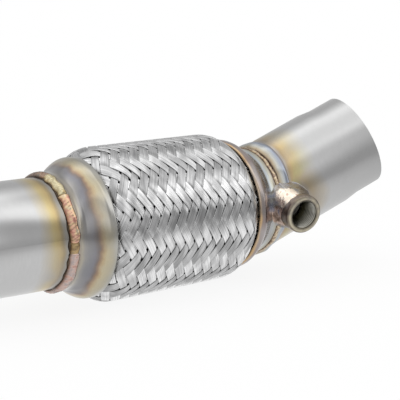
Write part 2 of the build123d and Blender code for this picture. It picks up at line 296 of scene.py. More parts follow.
INLET_COLLAR_TINT = [
    (0.0, "#8A8178"),
    (0.12, "#A0978A"),
    (0.20, "#A8A295"),
    (0.28, "#949290"),
    (0.38, "#88888B"),
    (0.47, "#818086"),
    (0.54, "#7C7370"),
    (0.585, "#96806E"),
    (0.64, "#B4A284"),
    (0.70, "#B9AF95"),
    (0.82, "#AFA998"),
    (0.92, "#A8A69E"),
    (1.0, "#A5A39D"),
]
OUTLET_COLLAR_TINT = [
    (0.0, "#7A6F66"),
    (0.08, "#8A8078"),
    (0.15, "#B5B2A2"),
    (0.25, "#BCC2C4"),
    (0.36, "#A6ABB3"),
    (0.50, "#8E8B92"),
    (0.62, "#8D8388"),
    (0.78, "#918584"),
    (0.93, "#928580"),
    (0.975, "#B0977C"),
    (1.0, "#BFA27C"),
]
INLET_TOE = 2.6 * MM
OUTLET_TOE = 0.6 * MM
BUNG_TOE = 14.0


def from_inlet_weld(tree, place):
    """Millimetres from the toe of the inlet weld, back along the flexible joint's axis."""
    return distance_from_plane(tree, place, np.array([weld_in - INLET_TOE, 0, 0]), -flex_axis)


def from_outlet_weld(tree, place):
    """Millimetres from the toe of the outlet weld, on along the flexible joint's axis."""
    return distance_from_plane(tree, place, np.array([weld_out + OUTLET_TOE, 0, 0]), flex_axis)


def from_bung(tree, place):
    """Millimetres from the toe of the bung's weld, out from the bung's axis."""
    distance = distance_from_line(tree, place, bung_face, port_axis)
    return add_node(tree, "Math", {0: distance, 1: BUNG_TOE}, operation="SUBTRACT")


def from_inlet_neck(tree, place):
    """Millimetres along the inlet collar from its welded end."""
    return distance_from_plane(tree, place, np.array([weld_in, 0, 0]), flex_axis)


def from_outlet_neck(tree, place):
    """Millimetres along the outlet collar from its welded end."""
    return distance_from_plane(tree, place, np.array([weld_out, 0, 0]), -flex_axis)


def tinted_steel(name, tints, roughness=0.2, wander=1.2, straight=None, mouth=None):
    """Satin drawn stainless tube whose welds have coloured it: the oxide grows thinner with distance from the
    weld, so its colour runs blue, purple, brown, gold, straw and then plain steel. Each tint is a function
    that gives millimetres from the weld, the width of its ramp, and the ramp's stops. The heat went unevenly,
    so the distance wanders by that many millimetres, and a cloud keeps some places plainer."""
    material, tree, place = new_material(name)
    wobble = add_node(tree, "TexNoise", {"Vector": place, "Scale": 1 / (16 * MM), "Detail": 3.0})
    shift = add_node(tree, "Math", {0: wobble, 1: 4 * wander, 2: -2 * wander}, operation="MULTIPLY_ADD")
    cloud = add_node(tree, "TexNoise", {"Vector": place, "Scale": 1 / (26 * MM), "Detail": 2.0})
    cover = add_node(tree, "Math", {0: cloud, 1: 2.6, 2: -0.55}, operation="MULTIPLY_ADD", use_clamp=True)
    colour = None
    for measure, width, stops in tints:
        distance = add_node(tree, "Math", {0: measure(tree, place), 1: shift}, operation="ADD")
        share = add_node(tree, "Math", {0: distance, 1: width}, operation="DIVIDE", use_clamp=True)
        plain = add_node(tree, "ValToRGB", {"Fac": share}, stops=THIN_OXIDE)
        vivid = add_node(tree, "ValToRGB", {"Fac": share}, stops=stops)
        tint = add_node(tree, "Mix", {0: cover, 6: plain, 7: vivid}, 2, data_type="RGBA")
        if colour is None:
            colour = tint
        else:
            darker = {0: 1.0, 6: colour, 7: tint}
            colour = add_node(tree, "Mix", darker, 2, data_type="RGBA", blend_type="DARKEN")
    # Drawing and polishing leave fine marks round the tube, too fine to see singly, drawn 0.6 mm wide
    drawn = add_node(tree, "VectorMath", {0: place, 1: (1.0, 0.12, 0.12)}, operation="MULTIPLY")
    marks = add_node(tree, "TexNoise", {"Vector": drawn, "Scale": 1 / (0.6 * MM), "Detail": 3.0})
    level = add_node(tree, "Math", {0: marks, 1: 0.10, 2: 0.95}, operation="MULTIPLY_ADD")
    shade = add_node(tree, "CombineColor", {0: level, 1: level, 2: level})
    shaded = {0: 1.0, 6: colour, 7: shade}
    colour = add_node(tree, "Mix", shaded, 2, data_type="RGBA", blend_type="MULTIPLY")
    polish = add_node(tree, "TexNoise", {"Vector": place, "Scale": 1 / (22 * MM), "Detail": 2.0})
    rough = add_node(tree, "Math", {0: polish, 1: 0.10, 2: roughness - 0.05}, operation="MULTIPLY_ADD")
    metallic = 1.0
    if mouth:
        # The bore is left unpolished, with a grey mill scale that scatters the light
        bore = bore_share(tree, place, *mouth)
        colour = add_node(tree, "Mix", {0: bore, 6: colour, 7: MILL_GREY}, 2, data_type="RGBA")
        metallic = add_node(tree, "Math", {0: bore, 1: -0.8, 2: 1.0}, operation="MULTIPLY_ADD")
    relief = {"Height": marks, "Distance": 0.01 * MM, "Strength": 1.0}
    if straight:
        relief["Normal"] = round_normal(tree, place, *straight)
    normal = add_node(tree, "Bump", relief)
    look = {"Base Color": colour, "Metallic": metallic, "Roughness": rough, "Normal": normal}
    add_node(tree, "OutputMaterial", {"Surface": add_node(tree, "BsdfPrincipled", look)})
    return material


def braid_steel(name, dull, bright):
    """Bright drawn stainless wire, woven: each wire is a narrow mirror along its band, the wires differ a
    little in brightness, and so do the bands' floats. The fine wires spread the light across themselves, so
    the two directions of bands catch it differently. Coordinates are millimetres along and across a band."""
    material, tree, place = new_material(name)
    uv = add_node(tree, "UVMap", uv_map="along")
    wire = add_node(tree, "VectorMath", {0: uv, 1: (0.03, 1.4, 1.0)}, operation="MULTIPLY")
    streak = add_node(tree, "TexNoise", {"Vector": wire, "Scale": 1.0, "Detail": 2.0})
    wires = add_node(tree, "ValToRGB", {"Fac": streak}, stops=[(0.3, dull), (0.7, bright)])
    wide = add_node(tree, "VectorMath", {0: uv, 1: (0.1, 0.1, 1.0)}, operation="MULTIPLY")
    patch = add_node(tree, "TexNoise", {"Vector": wide, "Scale": 1.0, "Detail": 1.0})
    floats = add_node(tree, "ValToRGB", {"Fac": patch}, stops=[(0.40, "#D4D4D4"), (0.58, "#FFFFFF")])
    both = {0: 1.0, 6: wires, 7: floats}
    look = {
        "Base Color": add_node(tree, "Mix", both, 2, data_type="RGBA", blend_type="MULTIPLY"),
        "Metallic": 1.0,
        "Roughness": 0.2,
        "Tangent": add_node(tree, "Tangent", direction_type="UV_MAP", uv_map="along"),
        "Anisotropic": 0.75,
        "Anisotropic Rotation": 0.25,
    }
    add_node(tree, "OutputMaterial", {"Surface": add_node(tree, "BsdfPrincipled", look)})
    return material


def plain_steel(name, code, roughness):
    """Formed stainless strip, out of the torch's reach: plain, with a cloudy mill finish of 3 mm grain."""
    material, tree, place = new_material(name)
    cloud = add_node(tree, "TexNoise", {"Vector": place, "Scale": 1 / (3 * MM), "Detail": 3.0})
    rough = add_node(tree, "Math", {0: cloud, 1: 0.2, 2: roughness - 0.1}, operation="MULTIPLY_ADD")
    look = {"Base Color": code, "Metallic": 1.0, "Roughness": rough}
    add_node(tree, "OutputMaterial", {"Surface": add_node(tree, "BsdfPrincipled", look)})
    return material


def bead_steel(name, stops, roughness=0.24, grain=3.2, toe="#63564C"):
    """Weld bead, fused filler rod: its skin is patched with thin oxide from silver to copper pink, with so
    many millimetres to a patch, and slightly pitted every 1.8 mm. Its colour is painted darker towards its
    edges, as painted shade where the bead meets the metal."""
    material, tree, place = new_material(name)
    patches = add_node(tree, "TexNoise", {"Vector": place, "Scale": 1 / (grain * MM), "Detail": 4.0})
    oxide = add_node(tree, "ValToRGB", {"Fac": patches}, stops=stops)
    across = add_node(tree, "SeparateXYZ", {0: add_node(tree, "UVMap", uv_map="along")}, "Y")
    # Painted shade: the colour darkens towards the bead's edges, where it meets the metal
    toe_shade = [(0.0, "#FFFFFF"), (0.6, "#EDEBE9"), (0.86, "#B5AAA0"), (0.98, toe)]
    both = {0: 1.0, 6: oxide, 7: add_node(tree, "ValToRGB", {"Fac": across}, stops=toe_shade)}
    fine = add_node(tree, "TexNoise", {"Vector": place, "Scale": 1 / (1.8 * MM), "Detail": 2.0})
    rough = {0: fine, 1: 0.2, 2: roughness - 0.12}
    look = {
        "Base Color": add_node(tree, "Mix", both, 2, data_type="RGBA", blend_type="MULTIPLY"),
        "Metallic": 1.0,
        "Roughness": add_node(tree, "Math", rough, operation="MULTIPLY_ADD"),
        "Normal": add_node(tree, "Bump", {"Height": fine, "Distance": 0.16 * MM, "Strength": 1.0}),
    }
    add_node(tree, "OutputMaterial", {"Surface": add_node(tree, "BsdfPrincipled", look)})
    return material


# Pipes
inlet_tints = [(from_inlet_weld, INLET_TINT_WIDTH, INLET_TINT)]
outlet_tints = [(from_outlet_weld, OUTLET_TINT_WIDTH, OUTLET_TINT), (from_bung, BUNG_TINT_WIDTH, BUNG_TINT)]
outlet_line = (outlet_origin, outlet_axis)
outlet_mouth = (outlet_end, outlet_axis)
dress("inlet_pipe", tinted_steel("satin_stainless_inlet", inlet_tints, mouth=(inlet_end, inlet_axis)))
dress(
    "outlet_pipe",
    tinted_steel("satin_stainless_outlet", outlet_tints, straight=outlet_line, mouth=outlet_mouth),
)

# Collars. The lip's first two rings are drawn in to round its edge
COLLAR_LIP = 40.75 * MM
LIP_ROLL = 4.0
LIP_ROUNDING = np.array([0.45, 0.08]) * MM
LIP_INSIDE = 0.3 * MM
NECK_GAP = 0.1 * MM
STEP_START = 3.0 * MM
STEP_END = 17.0 * MM
RIDGE_PLACE = 20.4 * MM
RIDGE_WIDTH = 1.0 * MM
DENT = 0.11 * MM
DENT_SLANT = 0.8
COLLAR_COLUMNS = 180


def collar(name, replaced, end, direction, ridge, seed, material):
    """A pressed collar, turned from its profile: a rolled lip over the braid, a smooth step down to the neck,
    and a low ridge before the weld. The step is three less twice the share, times the share squared. The
    press left shallow dents: periodic noises of the turn and the share, fading to both ends of the step."""
    rolled = np.linspace(0, LIP_ROLL, 9)[:-1]
    along = np.concatenate([rolled, np.linspace(LIP_ROLL, COLLAR_LENGTH, 60)]) * MM
    share = np.clip((along - STEP_START) / (STEP_END - STEP_START), 0, 1)
    form = COLLAR_LIP - (3 - 2 * share) * share**2 * (COLLAR_LIP - neck_radius)
    outer = form + ridge * np.exp(-(((along - RIDGE_PLACE) / RIDGE_WIDTH) ** 2))
    outer[:2] -= LIP_ROUNDING
    inner = np.maximum(form - COLLAR_WALL, pipe_radius + NECK_GAP)
    inner[0] += LIP_INSIDE
    x = end + direction * np.concatenate([along, along[::-1]])
    radius = np.concatenate([outer, inner[::-1]])
    angle = np.linspace(0, TAU, COLLAR_COLUMNS, endpoint=False)[None, :]
    step = np.concatenate([share, share[::-1]])[:, None]
    dents = smooth_noise(angle + DENT_SLANT * step, seed, 8, 2) + smooth_noise(angle - step, seed + 1, 8, 3)
    dents = np.abs(DENT * dents * np.sin(math.pi * np.clip(step, 0.06, 0.97)))
    points = turned(flex_line, flex_axis, up, x[:, None], radius[:, None] - dents, angle)
    faces = grid_faces(len(x), COLLAR_COLUMNS, wrap_rows=True, flip=direction > 0)
    mesh_piece(name, points, faces, material, replaced)


inlet_collar_tints = [(from_inlet_neck, COLLAR_LENGTH, INLET_COLLAR_TINT)]
outlet_collar_tints = [(from_outlet_neck, COLLAR_LENGTH, OUTLET_COLLAR_TINT)]
inlet_collar_finish = tinted_steel("pressed_stainless_inlet_collar", inlet_collar_tints, 0.16, 1.9)
outlet_collar_finish = tinted_steel("pressed_stainless_outlet_collar", outlet_collar_tints, 0.19, 1.4)
collar("inlet_collar_pressing", ["inlet_collar"], rim_in, -1, 0.35 * MM, 67, inlet_collar_finish)
collar("outlet_collar_pressing", ["outlet_collar"], rim_out, 1, 0.2 * MM, 61, outlet_collar_finish)

# Inside the joint. The bellows is painted darker than bare steel, as painted shade, so that the braid's gaps
# look dark
plain_ring = plain_steel("plain_stainless_ring", MILL_GREY, 0.4)
dress("bellows", plain_steel("bellows_painted_shade", "#2E2E2E", 0.5))
dress("interlock_liner", plain_steel("wound_stainless_liner", "#8A8780", 0.4))
dress("inlet_inner_ring", plain_ring)
dress("outlet_inner_ring", plain_ring)

# Braid: its outline
SHOULDER_RADIUS = 13.0 * MM
SHOULDER_ANGLE = math.radians(52)
BRAID_MOUTH_RADIUS = 38.4 * MM
RIM_TUCK = 1.2 * MM
TUCK_TURN = 1.5 * MM

# Braid: its weave, in rows along it and columns round it
BANDS = 24
WEAVE_ROWS = 32
ROW_PHASE = -0.61
COLUMN_PHASE = 0.2
COLUMN_ANGLE = math.pi / BANDS
SAMPLES_PER_ROW = 4
WIRES = 8
POINTS_PER_WIRE = 3
WIRE_CROWN = 0.065 * MM
WIRE_ROUNDNESS = 0.6
BAND_RISE = 0.34 * MM
BAND_THICKNESS = 0.4 * MM
FLOAT_FLATNESS = 3.4
# A band fills most of its column's width and swings in and out as it dips. It is drawn thinner just before
# the inlet's shoulder, where the braid's larger gaps are
BAND_FILL = 0.875
FILL_SWING = 0.115
THIN_ROW = -11
THIN_ROWS = 1.8
THIN_LOSS = 0.09
# For a band's coordinates: about the millimetres that it runs in one row, its width, and a shift between
# bands that gives each one its own pattern
BAND_ROW_LENGTH = 6.94
BAND_WIDTH = 6.0
BAND_SHIFT = (31.7, 17.3)

crown_radius = braid_radius - BAND_RISE - WIRE_CROWN
mouth_radius = BRAID_MOUTH_RADIUS - BAND_RISE - WIRE_CROWN
slope_drop = crown_radius - mouth_radius - SHOULDER_RADIUS * (1 - math.cos(SHOULDER_ANGLE))
slope_length = slope_drop / math.sin(SHOULDER_ANGLE)
slope_x = SHOULDER_RADIUS * math.sin(SHOULDER_ANGLE) + slope_length * math.cos(SHOULDER_ANGLE)
crown_end = half_flex - RIM_TUCK - slope_x
shoulder_end = crown_end + SHOULDER_RADIUS * SHOULDER_ANGLE
outline_end = shoulder_end + slope_length
row_step = 2 * outline_end / WEAVE_ROWS


def barrel(distance, height):
    """The braid's outline: a straight crown, a round shoulder, a straight slope, and a straight tuck under
    the rim. Distance runs along it from the middle, and height stands off it. Gives x and the radius."""
    side, along = np.sign(distance), np.abs(distance)
    bend = np.clip((along - crown_end) / SHOULDER_RADIUS, 0, SHOULDER_ANGLE)
    slope = np.clip(along - shoulder_end, 0, slope_length)
    tuck = np.maximum(along - outline_end, 0)
    tilt = bend * np.clip(1 - tuck / TUCK_TURN, 0, 1)
    x = np.minimum(along, crown_end) + SHOULDER_RADIUS * np.sin(bend) + slope * np.cos(bend) + tuck
    radius = crown_radius - SHOULDER_RADIUS * (1 - np.cos(bend)) - slope * np.sin(bend)
    return side * (x + height * np.sin(tilt)), radius + height * np.cos(tilt)


def braid_set(name, falls, material, replaced=()):
    """All the bands of one direction, as flat ribbons of parallel wires.

    A band runs one row along the braid for each column round it. It rises over two crossings and dips under
    the next two, by a flattened cosine of its column: the cosine's hyperbolic tangent. Across it, the wires
    are a row of arches, each a sine raised to a power.
    """
    direction = 1 if falls else -1
    half_rows = WEAVE_ROWS // 2 + 1
    count = 2 * half_rows * SAMPLES_PER_ROW + 1
    along = np.linspace(-half_rows, half_rows, count) - direction * ROW_PHASE
    wire = np.linspace(0, 1, POINTS_PER_WIRE + 1)[:-1]
    across = np.concatenate([(np.arange(WIRES)[:, None] + wire).ravel() / WIRES, [1.0]])
    crown = np.abs(np.sin(math.pi * across * WIRES)) ** WIRE_ROUNDNESS
    offset = np.concatenate([across, [1.0, 0.0]]) - 0.5
    height = np.concatenate([WIRE_CROWN * crown, [-BAND_THICKNESS] * 2])
    band, t, v = np.meshgrid(np.arange(BANDS), along, offset, indexing="ij")
    fill = BAND_FILL - FILL_SWING * np.cos(math.pi / 2 * (2 * band + t - 1.5))
    fill = fill - THIN_LOSS * np.exp(-(((direction * t + ROW_PHASE - THIN_ROW) / THIN_ROWS) ** 2))
    v = v * fill
    row = direction * (t - v) + ROW_PHASE
    column = 2 * band + t + v + COLUMN_PHASE
    wave = np.cos(math.pi / 2 * (2 * band + t - 0.5))
    over = direction * np.tanh(FLOAT_FLATNESS * wave) / math.tanh(FLOAT_FLATNESS)
    x, radius = barrel(row * row_step, BAND_RISE * over + height)
    points = turned(flex_centre, flex_axis, up, x, radius, column * COLUMN_ANGLE)
    section = len(offset)
    faces = []
    for i in range(BANDS):
        first = i * count * section
        last = first + (count - 1) * section
        faces += grid_faces(count, section, first=first, flip=falls)
        start = list(range(first, first + section))
        end = list(range(last, last + section))
        faces += [start[::-1], end] if falls else [start, end[::-1]]
    uv = np.stack([t * BAND_ROW_LENGTH + band * BAND_SHIFT[0], v * BAND_WIDTH + band * BAND_SHIFT[1]], -1)
    mesh_piece(name, points, faces, material, replaced, uv)


# Lit and shaded copies of one wire: the falling bands are painted lighter and the rising bands darker, as
# painted light and shade
wire_painted_lit = braid_steel("woven_stainless_wire_painted_lit", "#CBCBCC", "#FAFAFA")
wire_painted_shade = braid_steel("woven_stainless_wire_painted_shade", "#A4A4A5", "#D6D6D6")
braid_set("braid_falling_bands", True, wire_painted_lit, ["outer_braid"])
braid_set("braid_rising_bands", False, wire_painted_shade)

# Welds
COPPER_BROWN = [(0.34, "#8A7365"), (0.5, "#AC9380"), (0.66, "#9A928A")]
STRAW_GOLD = [(0.34, "#B0A584"), (0.5, "#D2C9A8"), (0.66, "#BBA67C")]
COPPER_PINK = [(0.3, "#B87E70"), (0.45, "#D2A592"), (0.58, "#D6BC96"), (0.72, "#D2C6B4")]
PINK_SILVER = [(0.3, "#B38D82"), (0.46, "#CBB0A6"), (0.60, "#B2A8A6"), (0.72, "#C0A093")]
TIE_GOLD = [(0.34, "#8C7860"), (0.5, "#B9A076"), (0.66, "#A8957C")]
ROOT_RUN_PAINTED_SHADE = [(0.34, "#5B524A"), (0.66, "#7A6F60")]
GOLD_SEAM = [(0.34, "#8C7D72"), (0.46, "#AE9A88"), (0.57, "#DACAAA"), (0.68, "#B0A29C")]
JOINT_WIDTH = 5.6 * MM
BEAD_STEP = 0.18 * MM
BEAD_POINTS = 28
BEAD_FOOT = 0.7 * MM
BEAD_END = 1.6 * MM
BLUNTNESS = 0.01
RIPPLE_SETBACK = 0.9
RIPPLE_DRIFT = 0.25
LUMPS = 0.12
FINE_LUMPS = 0.05
PATH_DRIFT = 0.25 * MM
WIDTH_SWING = 0.08


def bead(name, angles, material, height, ripple, pitch, seed, width, at=weld_in, ends=None, replaced=()):
    """One run of a weld along a ring, over these angles: a lens across the joint, with ripples along it.

    The crown is half an ellipse on the sloping line between the radii at the joint's two ends, and its foot
    is sunk in the metal. A ripple is a saw tooth of the run, set back towards the bead's edges by the square
    of the offset from its middle. The bead's height, width and middle wander by periodic noises of the run,
    and a run that doesn't close on itself rounds off at both ends by a quarter circle, cut a little blunt.
    Height, ripple, pitch and width are millimetres.
    """
    first_radius, last_radius = ends or (pipe_radius, neck_radius)
    start, end = np.radians(angles)
    whole = end - start > TAU - 0.01
    runs = max(int((end - start) * neck_radius / BEAD_STEP), 12)
    run = np.linspace(start, end, runs + (0 if whole else 1), endpoint=not whole)
    turn = np.linspace(0, TAU, BEAD_POINTS, endpoint=False)
    run, turn = np.meshgrid(run, turn, indexing="ij")
    across = np.cos(turn)
    arc = run * neck_radius
    phase = arc / (pitch * MM) - RIPPLE_SETBACK * across**2 + RIPPLE_DRIFT * smooth_noise(run, seed, 12, 5)
    tooth = 1 - phase % 1.0
    closing = 1.0
    if not whole:
        left = np.clip(np.minimum(run - start, end - run) * neck_radius / BEAD_END, 0, 1)
        closing = np.sqrt(np.clip(1 - (1 - left) ** 2, BLUNTNESS, 1))
    lumps = LUMPS * smooth_noise(run, seed + 1, 16, 6)
    lumps = lumps + FINE_LUMPS * smooth_noise(run + 0.05 * across, seed + 4, 60, 50)
    crown = (height * (1 + lumps) + ripple * (tooth - 0.5)) * MM
    half = width * MM / 2 * (1 + WIDTH_SWING * smooth_noise(run, seed + 3, 20, 8)) * closing
    x = at + PATH_DRIFT * smooth_noise(run, seed + 2, 20, 4) + half * across
    share = np.clip((x - (at - JOINT_WIDTH / 2)) / JOINT_WIDTH, 0, 1)
    ground = first_radius + (last_radius - first_radius) * share
    rise = np.where(np.sin(turn) > 0, crown * closing, BEAD_FOOT) * np.sin(turn)
    points = turned(flex_line, flex_axis, up, x, ground + rise, run)
    rows, columns = run.shape
    faces = grid_faces(rows, columns, wrap_rows=whole, flip=True)
    if not whole:
        faces += [list(range(columns))[::-1], list(range((rows - 1) * columns, rows * columns))]
    uv = np.stack([arc / MM, np.abs(across)], -1)
    mesh_piece(name, points, faces, material, replaced, uv)


# The root run is wider than the passes and shows beside them as a thin dark border: its dark colour is
# painted shade at the bead's edges
root_run_shade_finish = bead_steel("root_run_painted_shade", ROOT_RUN_PAINTED_SHADE, 0.36)
bead("inlet_weld_root", (0, 360), root_run_shade_finish, 0.35, 0.04, 1.6, 1, 6.6, replaced=["inlet_weld"])

# The welder's passes over the root run: name, angles, finish, height, ripple, ripple pitch, seed and width
PASSES = [
    ("pass_top", (-75, 9), bead_steel("copper_brown_bead", COPPER_BROWN), 1.6, 0.36, 1.2, 2, 5.6),
    ("pass_straw", (6, 42), bead_steel("straw_gold_bead", STRAW_GOLD, 0.26), 1.6, 0.40, 1.4, 5, 5.6),
    ("pass_copper", (40, 90), bead_steel("copper_pink_bead", COPPER_PINK, 0.18), 1.6, 0.05, 1.7, 9, 5.6),
    ("tie", (87, 102), bead_steel("gold_tie_bead", TIE_GOLD, 0.26), 0.992, 0.05, 1.8, 12, 5.0),
    ("pass_pink", (99, 190), bead_steel("pink_silver_bead", PINK_SILVER, 0.22), 1.52, 0.18, 1.5, 14, 5.6),
    ("pass_back", (188, 288), bead_steel("straw_back_bead", STRAW_GOLD, 0.24), 1.44, 0.26, 1.2, 19, 5.6),
]
for name, *run_sizes in PASSES:
    bead("inlet_weld_" + name, *run_sizes)

seam_finish = bead_steel("gold_pink_seam", GOLD_SEAM, 0.28, 1.6, "#8E857C")
seam_ends = (neck_radius, neck_radius - 0.2 * MM)
seam_place = weld_out - 0.3 * MM
seam_sizes = (1.0, 0.04, 1.8, 23, 4.0)
bead("outlet_weld_seam", (0, 360), seam_finish, *seam_sizes, seam_place, seam_ends, ["outlet_weld"])

# The outlet pipe's melted lip
LIP_START = 0.3 * MM
LIP_WIDTH = 6.6 * MM
LIP_HEIGHT = 1.5 * MM
LIP_FULLNESS = 0.8
LIP_EDGE_DROP = 0.12 * MM
LIP_FOOT = 0.8 * MM
LIP_DRIFT = 0.3 * MM
LIP_SWING = 0.15
LIP_COLUMNS = 360
LIP_STEPS = 18
PALE_BLUE_LIP = [
    (0.0, "#75665B"),
    (0.14, "#A99B84"),
    (0.34, "#B9B9B2"),
    (0.6, "#A3A9B3"),
    (0.85, "#9295A0"),
    (1.0, "#9A938E"),
]


def pipe_reach(x, angle):
    """How far the outlet pipe's surface lies from the flexible joint's axis, at x and at an angle round it:
    the farther root of a quadratic."""
    outward = turned(np.zeros(3), flex_axis, up, np.zeros_like(x), np.ones_like(x), angle)
    start = np.stack([x - outlet_origin[0], np.zeros_like(x), np.zeros_like(x)], -1)
    across = outward @ outlet_axis
    a = 1 - across**2
    b = -(start @ outlet_axis) * across
    c = np.sum(start**2, -1) - (start @ outlet_axis) ** 2 - pipe_radius**2
    return (-b + np.sqrt(np.maximum(b**2 - a * c, 0))) / a


def lip_steel():
    """The melted lip, smooth from the torch: pale blue oxide with a straw edge towards the seam."""
    material, tree, place = new_material("pale_blue_melted_stainless")
    distance = distance_from_plane(tree, place, np.array([weld_out, 0, 0]), flex_axis)
    noise = add_node(tree, "TexNoise", {"Vector": place, "Scale": 1 / (9 * MM), "Detail": 2.0})
    wobble = add_node(tree, "Math", {0: noise, 1: 2.4, 2: -1.2}, operation="MULTIPLY_ADD")
    wandering = add_node(tree, "Math", {0: distance, 1: wobble}, operation="ADD")
    share = add_node(tree, "Math", {0: wandering, 1: 6.5}, operation="DIVIDE", use_clamp=True)
    colour = add_node(tree, "ValToRGB", {"Fac": share}, stops=PALE_BLUE_LIP)
    look = {"Base Color": colour, "Metallic": 1.0, "Roughness": 0.2}
    add_node(tree, "OutputMaterial", {"Surface": add_node(tree, "BsdfPrincipled", look)})
    return material


def lip():
    """The pipe's mitred lip, melted over by the torch: a low round swelling that follows the mitre, half a
    sine high across its width, raised to a power, with its underside sunk in the pipe's wall."""
    angle = np.linspace(0, TAU, LIP_COLUMNS, endpoint=False)
    share, angle = np.meshgrid(np.linspace(0, 1, LIP_STEPS), angle, indexing="ij")
    x = weld_out + LIP_START + share * (LIP_WIDTH + LIP_DRIFT * smooth_noise(angle, 51, 14, 3))
    height = LIP_HEIGHT * (1 + LIP_SWING * smooth_noise(angle, 53, 18, 4))
    ground = pipe_reach(x, angle)
    top = ground + height * np.sin(math.pi * share) ** LIP_FULLNESS - LIP_EDGE_DROP * (2 * share - 1) ** 4
    radius = np.concatenate([top, ground[::-1] - LIP_FOOT])
    x = np.concatenate([x, x[::-1]])
    angle = np.concatenate([angle, angle])
    points = turned(flex_line, flex_axis, up, x, radius, angle)
    faces = grid_faces(2 * LIP_STEPS, LIP_COLUMNS, wrap_rows=True, flip=True)
    mesh_piece("outlet_weld_lip", points, faces, lip_steel())


lip()

# Sensor bung
BUNG_RADIUS = 12.0 * MM
BUNG_CHAMFER = 1.0 * MM
COUNTERSINK = 0.8 * MM
THREAD_START = 0.35 * MM
THREAD_PITCH = 1.5 * MM
THREAD_DEPTH = 0.65 * MM
THREAD_SLOPE = 1.25
THREAD_FLAT = 0.05
THREAD_SHADE = 0.9
THREAD_STEPS = 110
BUNG_COLUMNS = 144
WALL_SINK = 0.5 * MM
BORE_SINK = 0.4 * MM
NECK_LIMIT = 3 * MM
BUNG_TINT_DEPTH = 18.0
BUNG_OUTSIDE = [
    (0.0, "#BEB6A0"),
    (0.008, "#8E8474"),
    (0.04, "#82776A"),
    (0.1, "#8C8074"),
    (0.2, "#A09286"),
    (0.45, "#9A928A"),
]
# Painted shade in the bore: lighter just inside its mouth and darker deeper in
BORE_PAINTED_SHADE = [
    (0.0, "#8A8678"),
    (0.03, "#B9B6AC"),
    (0.12, "#D6D5D0"),
    (0.45, "#A9A8A0"),
    (0.75, "#66644F"),
    (1.0, "#504E3C"),
]
# Painted shade in the thread: dark in its grooves, light on its crests
THREAD_GROOVE_PAINTED_SHADE = [(0.1, "#2E2E2A"), (0.5, "#A8A69E"), (0.9, "#FFFFFF")]


def surface_depth(origin, axis, radius, out, angle):
    """How far below the bung's face a line parallel to its axis meets a pipe: a quadratic's nearer root."""
    start = turned(bung_face, port_axis, bung_side, 0.0, out, angle)
    offset = start - origin
    a = 1 - (port_axis @ axis) ** 2
    b = -(offset @ port_axis - (offset @ axis) * (port_axis @ axis))
    c = np.sum(offset**2, -1) - (offset @ axis) ** 2 - radius**2
    return (-b - np.sqrt(np.maximum(b**2 - a * c, 0))) / a


def seat_depth(out, angle, sink=0.0):
    """Depth of the metal under the bung: the outlet pipe past the mitre, the collar's neck before it."""
    on_pipe = surface_depth(outlet_origin, outlet_axis, pipe_radius - sink, out, angle)
    on_neck = surface_depth(flex_centre, flex_axis, neck_radius - sink, out, angle)
    hit = turned(bung_face, port_axis, bung_side, -on_pipe, out, angle)
    before_mitre = hit[..., 0] < weld_out + OUTLET_TOE
    return np.where(before_mitre, np.minimum(on_neck, on_pipe + NECK_LIMIT), on_pipe)


def bung_steel():
    """Turned steel boss: fine rings from the lathe, drawn 0.8 mm wide to show, straw tinted at its rim, and
    bronze down its wall. Its bore has painted shade: darker deeper in, and dark in the thread's grooves
    between its bright crests. Its coordinates are how far a point is out of the thread's groove, and 1 inside
    the bore."""
    material, tree, place = new_material("turned_straw_steel")
    deep = distance_from_plane(tree, place, bung_face, -port_axis)
    share = add_node(tree, "Math", {0: deep, 1: BUNG_TINT_DEPTH}, operation="DIVIDE", use_clamp=True)
    uv = add_node(tree, "UVMap", uv_map="along")
    crest_shade_mask = add_node(tree, "SeparateXYZ", {0: uv}, "X")
    inside = add_node(tree, "SeparateXYZ", {0: uv}, "Y")
    groove = add_node(tree, "ValToRGB", {"Fac": crest_shade_mask}, stops=THREAD_GROOVE_PAINTED_SHADE)
    bore = {0: 1.0, 6: add_node(tree, "ValToRGB", {"Fac": share}, stops=BORE_PAINTED_SHADE), 7: groove}
    bore = add_node(tree, "Mix", bore, 2, data_type="RGBA", blend_type="MULTIPLY")
    patches = add_node(tree, "TexNoise", {"Vector": place, "Scale": 1 / (3 * MM), "Detail": 3.0})
    cool = add_node(tree, "ValToRGB", {"Fac": patches}, stops=[(0.4, "#FFFFFF"), (0.7, "#D6D6E2")])
    wall = {0: 1.0, 6: add_node(tree, "ValToRGB", {"Fac": share}, stops=BUNG_OUTSIDE), 7: cool}
    wall = add_node(tree, "Mix", wall, 2, data_type="RGBA", blend_type="MULTIPLY")
    rings = add_node(tree, "TexNoise", {"Vector": place, "Scale": 1 / (0.8 * MM), "Detail": 2.0})
    look = {
        "Base Color": add_node(tree, "Mix", {0: inside, 6: wall, 7: bore}, 2, data_type="RGBA"),
        "Metallic": 1.0,
        "Roughness": 0.28,
        "Normal": add_node(tree, "Bump", {"Height": rings, "Distance": 0.015 * MM, "Strength": 1.0}),
    }
    add_node(tree, "OutputMaterial", {"Surface": add_node(tree, "BsdfPrincipled", look)})
    return material


